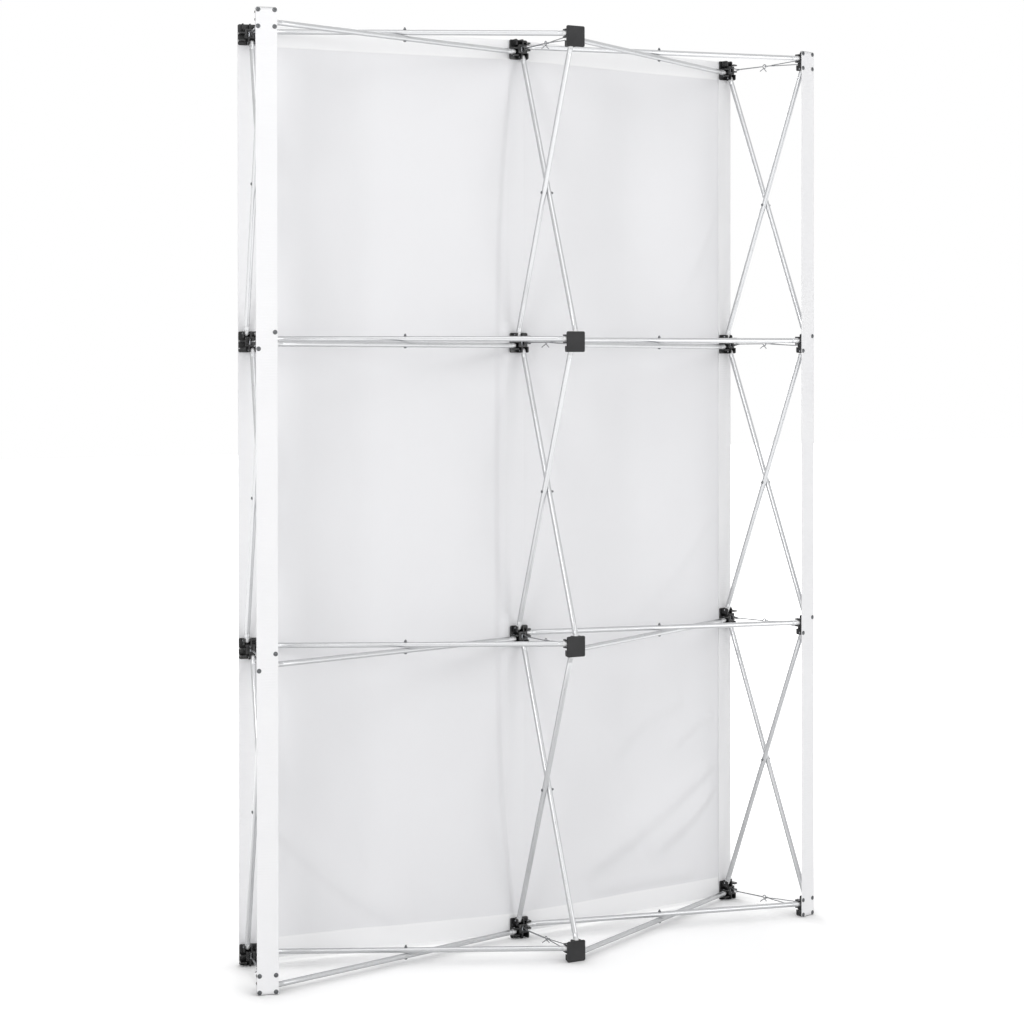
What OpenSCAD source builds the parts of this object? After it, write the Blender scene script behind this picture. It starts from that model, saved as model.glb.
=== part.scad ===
// Curved banner wall: a pop-up frame of three columns and four rows of moulded hubs, held apart by
// crossed tubes, with riveted tape straps on its end columns and one fabric banner on its front.
// Z is up, the banner faces -Y, and the origin is on the floor in the middle of the outer box.
// Every column is a flat stack of upright scissors. Every pair of neighbouring columns is joined in
// each row by one cross scissor, whose rivets sit off centre, so that the wall curves.

/* [Frame] */
// Height from one row of hubs to the next, between hub centres
row_pitch = 735; // [650:1:800]
// Distance between the front pins and the rear pins of a column, with the wall open
depth = 256; // [240:1:275]
// Angle that the wall turns from one column to the next, in degrees
column_turn = 14.7; // [8:0.1:18]

/* [Tubes] */
// Outside diameter of every tube
tube_d = 13; // [12:0.5:14]
// Wall thickness of every tube
tube_wall = 1.2; // [0.8:0.1:1.6]
// Gap between two tubes where they cross
cross_gap = 1; // [0.6:0.1:1.5]
// Length of an end fitting's shank inside its tube
shank_len = 22; // [15:1:40]
// Distance from a pivot pin to the end of the tube's wall
tube_start = 9; // [8:0.5:14]

/* [Hubs] */
// Width and height of a hub's outer plate
hub_w = 50; // [48:1:56]
// Thickness of the outer plate
plate_t = 4; // [3:0.5:6]
// Radius of the outer plate's corners
corner_r = 4; // [2:0.5:5]
// Reach of the slots' cheeks from the pins towards the inside of the wall
cheek_reach = 11; // [10:0.5:14]
// Thickness of a cheek
cheek_t = 3.5; // [2.5:0.25:4]
// Distance from a pin's centre to the edge of the hub
pin_edge = 5; // [4:0.25:5.5]
// Diameter of the pivot pins
pin_d = 4; // [3:0.25:5]
// Gap between a tube's rounded end and the outer plate
plate_gap = 2.1; // [0.5:0.1:3]

/* [Rivets] */
// Diameter of a rivet's shank
rivet_d = 4; // [3:0.25:5]
// Diameter of a rivet's head
rivet_head_d = 7.5; // [6:0.25:9]
// Height of a rivet's head on a tube
rivet_head_h = 2.5; // [1.5:0.25:3.5]
// Height of a rivet's head on a strap
strap_head_h = 1.6; // [1:0.1:2.5]

/* [Lock arms] */
// Diameter of the lock arms' wire
wire_d = 2.5; // [2:0.25:3]
// Radius of the wire's centre line in the end ring and the end hook
ring_r = 5; // [4.5:0.25:7]
// Height between the two legs of an arm at its hub
leg_spread = 12; // [10:0.5:14]
// Diameter of the pin that the arm's two eyes go round
arm_pin_d = 3; // [2.5:0.25:3.5]

/* [Fabric] */
// Width of the tape straps and of the banner's hems
strap_w = 50; // [40:1:50]
// Thickness of a strap
strap_t = 1.2; // [0.8:0.1:2]
// Thickness of the banner at its hems
banner_t = 1.2; // [0.8:0.1:2]
// Distance from the top and bottom of the frame to the ends of the straps
strap_inset = 1; // [1:0.5:10]
// Distance from the bottom of the frame to the banner's lower edge
banner_lift = 10; // [5:1:30]
// Depth of the long upright fold beside the middle column
fold_depth = 9; // [0:0.5:12]
// Width of that fold
fold_width = 40; // [20:1:80]
// Distance from the middle column's front hubs to that fold
fold_place = 37; // [20:1:80]
// Depth of the soft swells in each bay
swell_depth = 3; // [0:0.5:6]
// Depth of the soft bulge low in the first bay
bulge_depth = 4; // [0:0.5:8]
// Width of the square hook pads on the middle column's front hubs
pad_w = 40; // [30:1:46]

/* [Hidden] */
columns = 3;
rows = 4;
slack = 0.05;
slot_gap = 0.4;
tip_gap = 2.5;
soft_gap = 0.3;
open_play = 1.7;
step_t = 1;
rivet_inset = 6;

lane = (tube_d + cross_gap) / 2;
pin_reach = hub_w / 2 - pin_edge;
core = pin_reach - tube_d / 2 - tip_gap;
face = tube_d / 2 + plate_gap + plate_t;
slot_half = tube_d / 2 + slot_gap;
bore_d = tube_d - 2 * tube_wall;

// Length between the two pins of a tube, from the upright scissors
span = sqrt(pow(row_pitch - 2 * pin_reach, 2) + pow(depth, 2));
lean = asin(depth / span);
// Half the angle between a cross scissor's tubes, and its rivet's distance from the front pins
half_open = acos(depth * cos(column_turn / 2) / span);
off_centre = depth * sin(column_turn / 2) / sin(half_open);
front_part = (span - off_centre) / 2;
rear_part = (span + off_centre) / 2;
rear_chord = 2 * rear_part * sin(half_open);

frame_h = (rows - 1) * row_pitch + hub_w;
banner_back = face + strap_t + strap_head_h + soft_gap;
banner_top = frame_h - strap_inset;
banner_steps_x = 24;
banner_steps_z = 22;

function row_z(row) = hub_w / 2 + (row - 1) * row_pitch;
function side(column) = column - 2;
function turned(v, a) = [v.x * cos(a) - v.y * sin(a), v.x * sin(a) + v.y * cos(a)];
function column_angle(column) = -side(column) * column_turn;

// Middle of a column in plan, before the whole wall is moved to its origin
function rear_plan(column) =
    let (s = side(column), a = column_angle(column))
    s == 0 ? [0, depth / 2]
           : [s * pin_reach, depth / 2] + rear_chord * turned([s, 0], a / 2) + turned([s * pin_reach, 0], a);
function middle_plan(column) = rear_plan(column) - turned([0, depth / 2], column_angle(column));

// A point given in a column's own frame, in plan
function in_column(column, v) = middle_plan(column) + turned(v, column_angle(column));

wall_rear_y = depth / 2 + face;
wall_front_y = in_column(columns, [hub_w / 2, -depth / 2 - banner_back - banner_t]).y;
shift_y = -(wall_rear_y + wall_front_y) / 2;

function rear_hub(c, r) = str("rear_hub_c", c, "_r", r);
function front_hub(c, r) = str("front_hub_c", c, "_r", r);
function upright_back(c, r) = str("upright_tube_back_c", c, "_r", r);
function upright_front(c, r) = str("upright_tube_front_c", c, "_r", r);
function cross_upper(c, r) = str("cross_tube_upper_c", c, "_r", r);
function cross_lower(c, r) = str("cross_tube_lower_c", c, "_r", r);

$fn = 48;

module in_column_frame(column) {
    p = middle_plan(column);
    translate([p.x, p.y + shift_y, 0]) rotate([0, 0, column_angle(column)]) children();
}

module rod(d, h) {
    cylinder(d = d, h = h);
}

module rounded_square(w, r) {
    square([w, w - 2 * r], center = true);
    square([w - 2 * r, w], center = true);
    for (x = [-1, 1], z = [-1, 1]) translate([x * (w / 2 - r), z * (w / 2 - r)]) circle(r);
}

// One pair of cheeks of a hub, for the slot on its +X side, one lane above the middle
module slot_cheeks() {
    depth_all = cheek_reach + face - plate_t / 2;
    for (z = [lane - slot_half - cheek_t, lane + slot_half]) translate([0, 0, z]) {
        linear_extrude(cheek_t) difference() {
            translate([core - 1, -cheek_reach]) square([hub_w / 2 - core + 1, depth_all]);
            translate([hub_w / 2 - corner_r, corner_r - cheek_reach]) mirror([0, 1]) difference() {
                square(2 * corner_r);
                circle(corner_r);
            }
        }
    }
}

// The moulded hub, with its outer face towards +Y. Its four slots turn like a pinwheel.
module hub_moulding(rivet_places) {
    difference() {
        union() {
            translate([0, face - step_t, 0]) rotate([90, 0, 0])
                linear_extrude(plate_t - step_t) rounded_square(hub_w, corner_r);
            translate([0, face, 0]) rotate([90, 0, 0])
                linear_extrude(plate_t - step_t) rounded_square(hub_w - 2 * step_t, corner_r - step_t / 2);
            translate([-core, -cheek_reach, -core]) cube([2 * core, cheek_reach + face - plate_t / 2, 2 * core]);
            for (turn = [0:90:270]) rotate([0, turn, 0]) slot_cheeks();
        }
        for (turn = [0:90:270]) rotate([0, turn, 0])
            translate([pin_reach, 0, lane - slot_half - cheek_t - 1])
                rod(pin_d + 2 * slack, 2 * (slot_half + cheek_t + 1));
        arm_pocket();
        for (p = rivet_places) translate([p.x, face - plate_t - 1, p.y]) rotate([-90, 0, 0])
            rod(rivet_d + 2 * slack, plate_t + 2);
    }
}

arm_y = -cheek_reach + arm_pin_d / 2 + wire_d + 1;
eye_r = (arm_pin_d + wire_d) / 2 + 2 * slack;
pocket_w = 2 * (eye_r + wire_d / 2 + soft_gap);
pocket_h = leg_spread + wire_d + 2 * soft_gap;

// Pocket in the middle of a hub for the lock arm's eyes, with the bore of their pin
module arm_pocket() {
    translate([-pocket_w / 2, -cheek_reach - 1, -pocket_h / 2])
        cube([pocket_w, arm_y + cheek_reach + 1 + pocket_w / 2, pocket_h]);
    translate([0, arm_y, -core - 1]) rod(arm_pin_d + 2 * slack, 2 * core + 2);
}

// Rivet head: a low dome on a short rim, sitting on z = 0
module rivet_head(d, h) {
    rim = h * 0.4;
    cylinder(d = d, h = rim);
    translate([0, 0, rim]) intersection() {
        resize_r = (pow(d / 2, 2) + pow(h - rim, 2)) / (2 * (h - rim));
        translate([0, 0, h - rim - resize_r]) sphere(resize_r);
        cylinder(d = d, h = h);
    }
}

module strap_rivet() {
    rotate([-90, 0, 0]) {
        translate([0, 0, -strap_t - plate_t + 0.5]) rod(rivet_d, strap_t + plate_t - 0.5 + slack);
        rivet_head(rivet_head_d, strap_head_h);
    }
}

module arm_wire(from, to) {
    v = to - from;
    translate(from) {
        sphere(d = wire_d);
        rotate([0, 0, atan2(v.y, v.x)]) rotate([0, acos(v.z / norm(v)), 0]) rod(wire_d, norm(v));
    }
}

// Distance from a lock arm's pin to the centre of its end ring: ring and hook pull against each other
arm_reach = (depth + 2 * arm_y) / 2 - ring_r + wire_d / 2 + soft_gap / 2;

// Lock arm: a hairpin of wire, two eyes on the pin, with a ring (rear) or an open hook (front) at its end
module lock_arm(hooked) {
    neck = arm_reach - ring_r;
    translate([0, arm_y, 0]) {
        for (z = [-1, 1]) {
            translate([0, 0, z * leg_spread / 2]) rotate_extrude() translate([eye_r, 0]) circle(d = wire_d);
            arm_wire([0, -eye_r, z * leg_spread / 2], [0, -neck, 0]);
        }
        translate([0, -neck, 0]) sphere(d = wire_d);
        translate([0, -arm_reach, 0]) {
            if (hooked) {
                rotate([0, 90, 0]) rotate([0, 0, 90]) rotate_extrude(angle = 290) translate([ring_r, 0])
                    circle(d = wire_d);
            } else {
                rotate_extrude() translate([ring_r, 0]) circle(d = wire_d);
            }
        }
    }
}

// Everything that belongs to one hub: moulding, pivot pins, lock arm with its pin, rivets and pad
module hub(slots, rivet_places, padded, hooked) {
    color([0.13, 0.13, 0.14]) hub_moulding(rivet_places);
    color([0.75, 0.76, 0.78]) {
        for (turn = slots) rotate([0, turn, 0])
            translate([pin_reach, 0, lane - slot_half - cheek_t]) rod(pin_d, 2 * (slot_half + cheek_t));
        translate([0, arm_y, -core]) rod(arm_pin_d, 2 * core);
        lock_arm(hooked);
    }
    color([0.22, 0.22, 0.24])
        for (p = rivet_places) translate([p.x, face + strap_t + slack, p.y]) strap_rivet();
    if (padded) color([0.93, 0.93, 0.93])
        translate([-pad_w / 2, face, -pad_w / 2]) cube([pad_w, banner_back - soft_gap - face, pad_w]);
}

// Slots that hold a tube, as turns about the hub's own Y axis: 0 is its +X side, 90 its underside
function slots_used(row, plus_x, minus_x) = [
    if (plus_x) 0,
    if (row > 1) 90,
    if (minus_x) 180,
    if (row < rows) 270];

// Strap rivets: four on the top and bottom hubs, two on a diagonal on the hubs between
function rivets_used(column, row) =
    let (p = strap_w / 2 - rivet_inset)
    side(column) == 0 ? []
    : row == 1 || row == rows ? [[-p, p], [p, p], [-p, -p], [p, -p]]
    : [[-p, p], [p, -p]];

module rear_hub_part(c, r) {
    in_column_frame(c) translate([0, depth / 2, row_z(r)])
        hub(slots_used(r, c < columns, c > 1), rivets_used(c, r), false, false);
}

module front_hub_part(c, r) {
    in_column_frame(c) translate([0, -depth / 2, row_z(r)]) rotate([0, 0, 180])
        hub(slots_used(r, c > 1, c < columns), rivets_used(c, r), side(c) == 0, true);
}

// End fitting of a tube, with its pivot at the origin and the tube towards +X
module end_fitting(pivot_d) {
    difference() {
        union() {
            sphere(d = tube_d);
            rotate([0, 90, 0]) rod(tube_d, tube_start);
            rotate([0, 90, 0]) rod(bore_d - 2 * slack, tube_start + shank_len);
        }
        translate([0, 0, -tube_d]) rod(pivot_d + 2 * slack, 2 * tube_d);
    }
}

// One tube from pin to pin along +X, its pins along Z, drilled for its rivet
module tube(rivet_at, first_pivot_d) {
    color([0.80, 0.81, 0.83]) difference() {
        translate([tube_start + slack, 0, 0]) rotate([0, 90, 0]) rod(tube_d, span - 2 * (tube_start + slack));
        rotate([0, 90, 0]) rod(bore_d, span);
        translate([rivet_at, 0, -tube_d]) rod(rivet_d + 2 * slack, 2 * tube_d);
    }
    color([0.74, 0.75, 0.77]) {
        end_fitting(first_pivot_d);
        translate([span, 0, 0]) rotate([0, 0, 180]) end_fitting(pin_d);
    }
}

// Rivet through both tubes of a pair, along +Z from the outside of the first tube
module through_rivet() {
    reach = 2 * lane + tube_d;
    color([0.62, 0.63, 0.65]) {
        translate([0, 0, -tube_d / 2 - slack]) rod(rivet_d, reach + 2 * slack);
        translate([0, 0, -tube_d / 2 - slack]) mirror([0, 0, 1]) rivet_head(rivet_head_d, rivet_head_h);
        translate([0, 0, reach - tube_d / 2 + slack]) rivet_head(rivet_head_d, rivet_head_h);
    }
}

// Half of a cross scissor's rivet, headed on the +Z side, that ends inside its own tube
module half_rivet() {
    color([0.62, 0.63, 0.65]) {
        translate([0, 0, 4 * slack - tube_d / 2]) rod(rivet_d, tube_d - 3 * slack);
        translate([0, 0, tube_d / 2 + slack]) rivet_head(rivet_head_d, rivet_head_h);
    }
}

// Upright tube from a front hub up to the rear hub above it
module upright_back_part(c, r) {
    in_column_frame(c) translate([lane, -depth / 2, row_z(r) + pin_reach])
        rotate([-lean, 0, 0]) rotate([0, -90, 0]) {
            tube(span / 2, pin_d);
            translate([span / 2, 0, 0]) through_rivet();
        }
}

// Upright tube from a rear hub up to the front hub above it
module upright_front_part(c, r) {
    in_column_frame(c) translate([-lane, depth / 2, row_z(r) + pin_reach])
        rotate([lean, 0, 0]) rotate([0, -90, 0]) tube(span / 2, pin_d);
}

// Cross tube from a front pin to a rear pin. The half rivet's head is on the side that up names.
module cross_tube(front_pin, rear_pin, row, up, first_pivot_d) {
    v = rear_pin - front_pin;
    translate([front_pin.x, front_pin.y + shift_y, row_z(row) + up * lane])
        rotate([0, 0, atan2(v.y, v.x)]) {
            tube(front_part, first_pivot_d);
            translate([front_part, 0, 0]) mirror([0, 0, up > 0 ? 0 : 1]) half_rivet();
        }
}

module cross_upper_part(c, r) {
    cross_tube(in_column(c + 1, [-pin_reach, -depth / 2]), in_column(c, [pin_reach, depth / 2]), r, 1,
        c == 2 ? pin_d + 2 * open_play : pin_d);
}

module cross_lower_part(c, r) {
    cross_tube(in_column(c, [pin_reach, -depth / 2]), in_column(c + 1, [-pin_reach, depth / 2]), r, -1,
        c == 1 ? pin_d + 2 * open_play : pin_d);
}

// Tape strap on the outer faces of one column's hubs, holed for their rivets
module strap(column) {
    difference() {
        translate([-strap_w / 2, face + slack, strap_inset]) cube([strap_w, strap_t, frame_h - 2 * strap_inset]);
        for (r = [1:rows], p = rivets_used(column, r)) translate([p.x, face, row_z(r) + p.y])
            rotate([-90, 0, 0]) rod(rivet_d + 2 * slack, strap_t + 1);
    }
}

module straps() {
    color([0.95, 0.95, 0.95]) for (c = [1, columns]) in_column_frame(c) {
        translate([0, depth / 2, 0]) strap(c);
        translate([0, -depth / 2, 0]) rotate([0, 0, 180]) strap(c);
    }
}

// Banner in plan: it lies flat on each column's front and runs straight between the columns
banner_path = [for (c = [1:columns], x = [-1, 1])
    in_column(c, [x * hub_w / 2, -depth / 2 - banner_back])];
function path_point(u) =
    let (k = u * (len(banner_path) - 1), i = min(floor(k), len(banner_path) - 2))
    banner_path[i] + (k - i) * (banner_path[i + 1] - banner_path[i]);
function path_normal(u) =
    let (k = u * (len(banner_path) - 1), i = min(floor(k), len(banner_path) - 2),
        v = banner_path[i + 1] - banner_path[i])
    [v.y, -v.x] / norm(v);

bay_w = norm(banner_path[2] - banner_path[1]);
// Share of the path at a step: one step across each column's face, the others between the columns,
// closer together towards the middle column
function step_share(i) =
    let (half = banner_steps_x / 2, k = min(i, banner_steps_x - i),
        share = k == 0 ? 0 : k == half ? 0.5 : 0.4 - 0.2 * pow(1 - (k - 1) / (half - 2), 1.4))
    i < half ? share : 1 - share;

// How far the cloth stands forward: a long fold beside the middle column, and soft swells in each bay
function bump(t, width) = exp(-pow(t / width, 2));
function swell(u, v) =
    let (edge = sin(180 * u) * sin(180 * v), bay = abs(sin(180 * (v * (rows - 1)))))
    fold_depth * bump(u - 0.6 - 0.2 * fold_place / bay_w, 0.1 * fold_width / bay_w) * bay
    + swell_depth * edge * bay * (1 + cos(720 * u + 180 * v)) / 2
    + bulge_depth * bump(u - 0.3, 0.05) * bump(v - 0.12, 0.08);

function banner_vertex(i, j, out) =
    let (u = step_share(i), v = j / banner_steps_z, p = path_point(u),
        n = path_normal(u) * (out + swell(u, v)))
    [p.x + n.x, p.y + n.y + shift_y, banner_lift + v * (banner_top - banner_lift)];

// The banner as one closed sheet: a front and a back grid of points, joined along the four edges
module banner() {
    nx = banner_steps_x;
    nz = banner_steps_z;
    layer = (nx + 1) * (nz + 1);
    points = [for (out = [banner_t, 0], j = [0:nz], i = [0:nx]) banner_vertex(i, j, out)];
    function at(i, j) = j * (nx + 1) + i;
    function quad(a, b, c, d) = [[a, b, c], [a, c, d]];
    faces = [
        for (j = [0:nz - 1], i = [0:nx - 1], f = quad(at(i, j), at(i, j + 1), at(i + 1, j + 1), at(i + 1, j))) f,
        for (j = [0:nz - 1], i = [0:nx - 1],
            f = quad(layer + at(i, j), layer + at(i + 1, j), layer + at(i + 1, j + 1), layer + at(i, j + 1))) f,
        for (i = [0:nx - 1], f = quad(at(i, 0), at(i + 1, 0), layer + at(i + 1, 0), layer + at(i, 0))) f,
        for (i = [0:nx - 1], f = quad(at(i, nz), layer + at(i, nz), layer + at(i + 1, nz), at(i + 1, nz))) f,
        for (j = [0:nz - 1], f = quad(at(0, j), layer + at(0, j), layer + at(0, j + 1), at(0, j + 1))) f,
        for (j = [0:nz - 1], f = quad(at(nx, j), at(nx, j + 1), layer + at(nx, j + 1), layer + at(nx, j))) f];
    color([0.96, 0.96, 0.97]) polyhedron(points, faces);
}

for (c = [1:columns], r = [1:rows]) {
    rear_hub_part(c, r);
    front_hub_part(c, r);
}
for (c = [1:columns], r = [1:rows - 1]) {
    upright_back_part(c, r);
    upright_front_part(c, r);
}
for (c = [1:columns - 1], r = [1:rows]) {
    cross_upper_part(c, r);
    cross_lower_part(c, r);
}
straps();
banner();
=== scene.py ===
import math

import bmesh
import bpy
from mathutils import Matrix, Vector


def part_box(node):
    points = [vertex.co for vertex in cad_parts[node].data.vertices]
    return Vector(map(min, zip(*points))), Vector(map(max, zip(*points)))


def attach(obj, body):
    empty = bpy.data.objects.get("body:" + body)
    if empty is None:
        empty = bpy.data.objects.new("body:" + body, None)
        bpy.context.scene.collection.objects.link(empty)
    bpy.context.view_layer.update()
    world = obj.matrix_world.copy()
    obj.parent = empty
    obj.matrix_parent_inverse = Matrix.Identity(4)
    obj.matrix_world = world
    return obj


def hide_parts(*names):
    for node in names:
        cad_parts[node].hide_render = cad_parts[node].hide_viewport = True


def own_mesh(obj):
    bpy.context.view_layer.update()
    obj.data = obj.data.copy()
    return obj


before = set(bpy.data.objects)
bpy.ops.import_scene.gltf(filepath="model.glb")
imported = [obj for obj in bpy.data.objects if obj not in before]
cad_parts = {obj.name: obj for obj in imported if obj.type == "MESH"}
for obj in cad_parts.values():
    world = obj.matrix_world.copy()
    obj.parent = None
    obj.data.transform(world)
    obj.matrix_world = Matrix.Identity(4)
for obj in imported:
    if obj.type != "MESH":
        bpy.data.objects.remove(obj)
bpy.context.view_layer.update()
scene = bpy.context.scene
scene.view_settings.view_transform = "Standard"

# ---- Camera ---------------------------------------------------------------------------------------
# The photograph looks at the back of the wall from its +X side, from about chest height. The picture
# is cut from the lower part of a level view, so the lens is shifted down.
camera_place = (2.88442, 4.94572, 1.43361)
view_yaw, view_pitch, view_roll = (math.radians(a) for a in (209.648, -0.3825, -0.0524))
look = Vector((math.sin(view_yaw) * math.cos(view_pitch), math.cos(view_yaw) * math.cos(view_pitch),
               math.sin(view_pitch)))
bpy.ops.object.camera_add(location=camera_place)
camera = bpy.context.object
camera.rotation_euler = (look.to_track_quat("-Z", "Y").to_matrix()
                         @ Matrix.Rotation(view_roll, 3, "Z")).to_euler()
camera.data.lens = 81.182
camera.data.sensor_width = 36
camera.data.shift_y = -0.12634
scene.camera = camera

# ---- Hub mouldings --------------------------------------------------------------------------------
# Twelve rear and twelve front hubs, injection moulded in black nylon. A square outer plate carries
# four pairs of cheeks that turn like a pinwheel round a hollow core, a slot between each pair.
row_pitch, depth, column_turn = 0.735, 0.256, math.radians(14.7)
tube_d, cross_gap = 0.013, 0.001
hub_w, plate_t, corner_r = 0.050, 0.004, 0.004
cheek_reach, cheek_t, pin_edge, plate_gap = 0.011, 0.0035, 0.005, 0.0021
slot_gap, tip_gap, slack = 0.0004, 0.0025, 0.00005
arm_pin_d, wire_d, leg_spread, eye_margin = 0.003, 0.0025, 0.012, 0.001
lane = (tube_d + cross_gap) / 2
pin_reach = hub_w / 2 - pin_edge
core = pin_reach - tube_d / 2 - tip_gap
face = tube_d / 2 + plate_gap + plate_t
slot_half = tube_d / 2 + slot_gap
arm_y = arm_pin_d / 2 + wire_d + eye_margin - cheek_reach
eye_r = (arm_pin_d + wire_d) / 2 + 2 * slack

span = math.hypot(row_pitch - 2 * pin_reach, depth)
half_open = math.acos(depth * math.cos(column_turn / 2) / span)
off_centre = depth * math.sin(column_turn / 2) / math.sin(half_open)
rear_chord = (span + off_centre) * math.sin(half_open)
middle_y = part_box("rear_hub_c2_r1")[1].y - face - depth / 2
columns, rows, cells = (1, 2, 3), (1, 2, 3, 4), 3
hubs = [(layer, column, row) for layer in ("rear", "front") for column in columns for row in rows]


def row_z(row):
    """The height of the middle of a row's hubs."""
    return hub_w / 2 + (row - 1) * row_pitch


def column_frame(column):
    """Where a column stands: the wall turns by the same angle from each column to the next."""
    side = column - 2
    turn = Matrix.Rotation(-side * column_turn, 4, "Z")
    middle = Vector((0, middle_y, 0))
    if side:
        chord = Matrix.Rotation(-side * column_turn / 2, 4, "Z") @ Vector((side * rear_chord, 0, 0))
        middle += (Vector((side * pin_reach, depth / 2, 0)) + chord
                   + turn @ Vector((side * pin_reach, -depth / 2, 0)))
    return Matrix.Translation(middle) @ turn


def hub_frame(layer, column, row):
    """A hub's own frame, with its outer face towards +Y: the front hubs are turned round."""
    back = layer == "rear"
    place = column_frame(column) @ Matrix.Translation((0, depth / 2 if back else -depth / 2, row_z(row)))
    return place if back else place @ Matrix.Rotation(math.pi, 4, "Z")


def quarter_turn(quarter):
    """The turn about a hub's own Y that takes the slot on its +X side to another of its slots."""
    return Matrix.Rotation(quarter * math.pi / 2, 4, "Y")


def only(piece):
    """Selects one piece, and nothing else, for the operators that follow."""
    bpy.ops.object.select_all(action="DESELECT")
    piece.select_set(True)
    bpy.context.view_layer.objects.active = piece


def block(x, y, z):
    """A block between two values along each axis."""
    bpy.ops.object.select_all(action="DESELECT")
    bpy.ops.mesh.primitive_cube_add(size=1, location=[(a + b) / 2 for a, b in (x, y, z)],
                                    scale=[b - a for a, b in (x, y, z)])
    made = bpy.context.object
    bpy.ops.object.transform_apply(location=True, rotation=True, scale=True)
    return made


def pick(piece, kind, chosen):
    """Opens a piece for editing with only the faces or edges that pass a test selected."""
    only(piece)
    bpy.ops.object.mode_set(mode="EDIT")
    bpy.ops.mesh.select_mode(type=kind)
    bpy.ops.mesh.select_all(action="DESELECT")
    made = bmesh.from_edit_mesh(piece.data)
    for part in made.faces if kind == "FACE" else made.edges:
        part.select_set(bool(chosen(part)))
    bmesh.update_edit_mesh(piece.data)


def done():
    """Closes the piece that pick opened."""
    bpy.ops.object.mode_set(mode="OBJECT")


def faces_out(side):
    """True for a face that looks outwards from the hub."""
    return side.normal.y > 0.9


def runs_through(edge):
    """True for an edge that runs through a plate, from its back to its outer face."""
    return abs((edge.verts[0].co - edge.verts[1].co).normalized().y) > 0.9


def lies_at(edge, **wanted):
    """True for an edge whose middle lies at the wanted places."""
    middle = (edge.verts[0].co + edge.verts[1].co) / 2
    return all(abs(getattr(middle, axis) - value) < 1e-5 for axis, value in wanted.items())


def soften(piece, width, angle=30, segments=2):
    """Rounds a piece's sharp edges, as a mould or a tumbler does, and shades it smooth between them."""
    only(piece)
    rounding = piece.modifiers.new("rounding", "BEVEL")
    rounding.width, rounding.segments = width, segments
    rounding.limit_method, rounding.angle_limit = "ANGLE", math.radians(angle)
    bpy.ops.object.modifier_apply(modifier=rounding.name)
    bpy.ops.object.shade_smooth_by_angle(angle=math.radians(40))


def another(pattern, place, name="another"):
    """A copy of a pattern piece with its own mesh, set in its place."""
    made = bpy.data.objects.new(name, pattern.data.copy())
    scene.collection.objects.link(made)
    made.data.transform(place)
    return made


def joined(pieces, name):
    """Several pieces made one."""
    bpy.ops.object.select_all(action="DESELECT")
    for piece in pieces:
        piece.select_set(True)
    bpy.context.view_layer.objects.active = pieces[0]
    bpy.ops.object.join()
    pieces[0].name = name
    return pieces[0]


def fitted(pattern, name, place, body):
    """A copy of a finished pattern piece in its place on its body."""
    made = another(pattern, place, name)
    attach(made, body)
    return made


def on_hub(pattern, name, layer, column, row):
    """A copy of a finished pattern piece on a hub, in the hub's own frame."""
    return fitted(pattern, f"{name}_{layer}_c{column}_r{row}", hub_frame(layer, column, row),
                  f"{layer}_hub_c{column}_r{row}")


def linear(colour):
    """An sRGB hex colour as the linear numbers that a shader takes."""
    parts = [int(colour[i:i + 2], 16) / 255 for i in (1, 3, 5)]
    return [*(c / 12.92 if c <= 0.04045 else ((c + 0.055) / 1.055) ** 2.4 for c in parts), 1]


def feed(made, inputs):
    """Gives a node its inputs. Each is a plain value, or another node's output to link."""
    for name, value in inputs.items():
        if isinstance(value, bpy.types.NodeSocket):
            made.id_data.links.new(value, made.inputs[name])
        else:
            made.inputs[name].default_value = value
    return made


def node(tree, kind, inputs=(), **settings):
    """Adds a node with its settings and inputs. The scale of a pattern is its count to the metre."""
    made = tree.nodes.new(kind)
    for name, value in settings.items():
        setattr(made, name, value)
    return feed(made, dict(inputs))


def finish_named(name):
    """A new material with its tree and its one shader."""
    material = bpy.data.materials.new(name)
    material.use_nodes = True
    return material, material.node_tree, material.node_tree.nodes["Principled BSDF"]


# Glass-filled nylon, polished mould: near black, glossy, with faint flow marks about 4 mm wide
nylon, tree, shader = finish_named("glossy black moulded nylon")
place = node(tree, "ShaderNodeTexCoord").outputs["Object"]
flow = node(tree, "ShaderNodeTexNoise", {"Vector": place, "Scale": 260, "Detail": 3}).outputs["Fac"]
tone = node(tree, "ShaderNodeMix", {"Factor": flow, "A": linear("#08080a"), "B": linear("#141415")},
            data_type="RGBA")
rough = node(tree, "ShaderNodeMapRange", {"Value": flow, "To Min": 0.22, "To Max": 0.42})
grain = node(tree, "ShaderNodeBump", {"Height": flow, "Strength": 0.25, "Distance": 0.0004})
feed(shader, {"Base Color": tone.outputs["Result"], "Roughness": rough.outputs["Result"],
              "Normal": grain.outputs["Normal"], "IOR": 1.53, "Specular IOR Level": 0.5})

# The same nylon on the outer plate, made matte by spark erosion in the mould, with grain 0.8 mm wide under
# soft patches about 20 mm wide. Its charcoal, lighter than the polished cheeks, is partly the matte finish
# and partly painted light on the outward face of the same black plastic.
eroded_and_lit, tree, shader = finish_named("matte spark-eroded nylon plate")
place = node(tree, "ShaderNodeTexCoord").outputs["Object"]
spark = node(tree, "ShaderNodeTexNoise", {"Vector": place, "Scale": 1250, "Detail": 2}).outputs["Fac"]
cloud = node(tree, "ShaderNodeTexNoise", {"Vector": place, "Scale": 45, "Detail": 2}).outputs["Fac"]
tone = node(tree, "ShaderNodeMix", {"Factor": cloud, "A": linear("#252526"), "B": linear("#303031")},
            data_type="RGBA")
grain = node(tree, "ShaderNodeBump", {"Height": spark, "Strength": 0.5, "Distance": 0.0003})
feed(shader, {"Base Color": tone.outputs["Result"], "Roughness": 0.62, "Normal": grain.outputs["Normal"],
              "IOR": 1.53, "Specular IOR Level": 0.3})

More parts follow.
